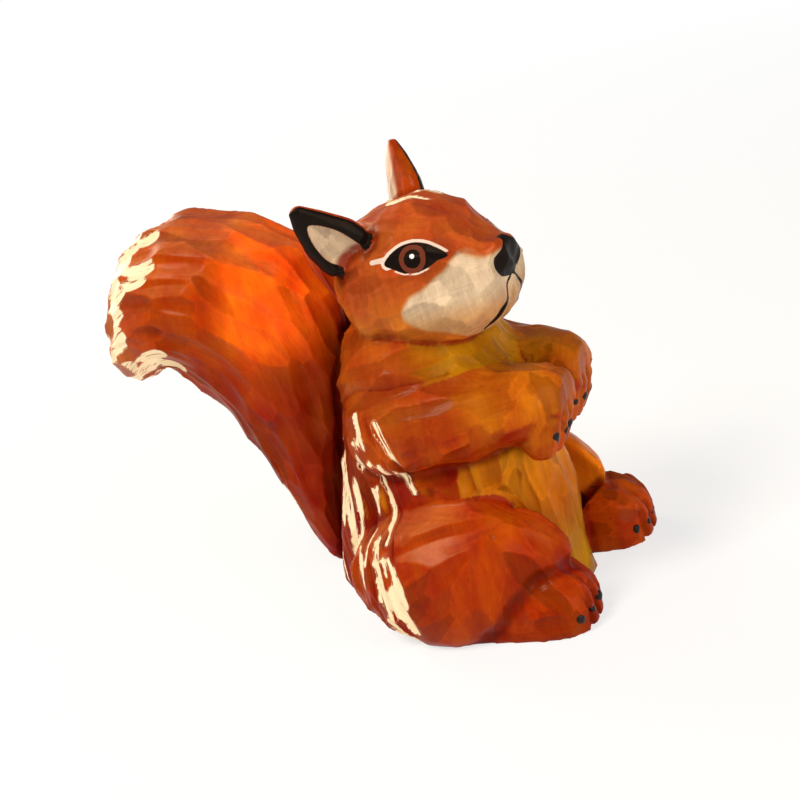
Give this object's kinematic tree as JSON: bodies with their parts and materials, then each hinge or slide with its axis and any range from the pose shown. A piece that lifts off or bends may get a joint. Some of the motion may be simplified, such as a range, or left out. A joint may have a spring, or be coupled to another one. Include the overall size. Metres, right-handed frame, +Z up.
{
  "type": "squirrel figurine",
  "caption": "Carved wooden squirrel sitting upright, forepaws at its chest and a broad fluted tail curling up behind; a free-standing lacquered ornament.",
  "frame": {"origin": "on the flat sawn base, under the middle of the body", "axes": "+X the way the squirrel faces, +Y to its left, +Z up"},
  "size_m": [0.1034, 0.062, 0.0984],
  "materials": {
    "stained_wood": "orange stain under gloss lacquer",
    "dowel_wood": "bare",
    "black_paint": "gloss black paint on wood"
  },
  "bodies": {
    "root": {"torso": "stained_wood", "head": "stained_wood", "tail": "stained_wood", "right_ear": "stained_wood", "left_ear": "stained_wood", "right_foreleg": "stained_wood", "left_foreleg": "stained_wood", "right_haunch": "stained_wood", "left_haunch": "stained_wood", "right_foot": "stained_wood", "left_foot": "stained_wood", "neck_dowel": "dowel_wood", "tail_dowels": "dowel_wood", "foreleg_dowels": "dowel_wood", "haunch_dowels": "dowel_wood", "foot_dowels": "dowel_wood"}
  },
  "joints": []
}
